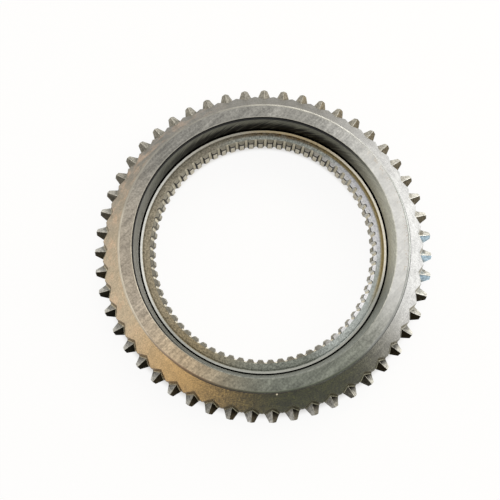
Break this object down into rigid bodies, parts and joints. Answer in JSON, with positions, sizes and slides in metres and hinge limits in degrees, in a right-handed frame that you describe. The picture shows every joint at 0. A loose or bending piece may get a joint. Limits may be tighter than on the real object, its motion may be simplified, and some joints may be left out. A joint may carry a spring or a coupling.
{
  "type": "synchronizer ring",
  "caption": "Flat steel ring with pointed dog teeth round the outside, a conical hub with a stepped bore, and a fine internal spline.",
  "frame": {"origin": "centre of the ring's flat back face", "axes": "+Z along the ring's axis, from the back face towards the front face; +X through the ridge of one dog tooth"},
  "size_m": [0.1599, 0.16, 0.0245],
  "materials": {
    "ground_steel": "fine ground, bare steel"
  },
  "bodies": {
    "root": {"synchronizer_ring": "ground_steel"}
  },
  "joints": []
}
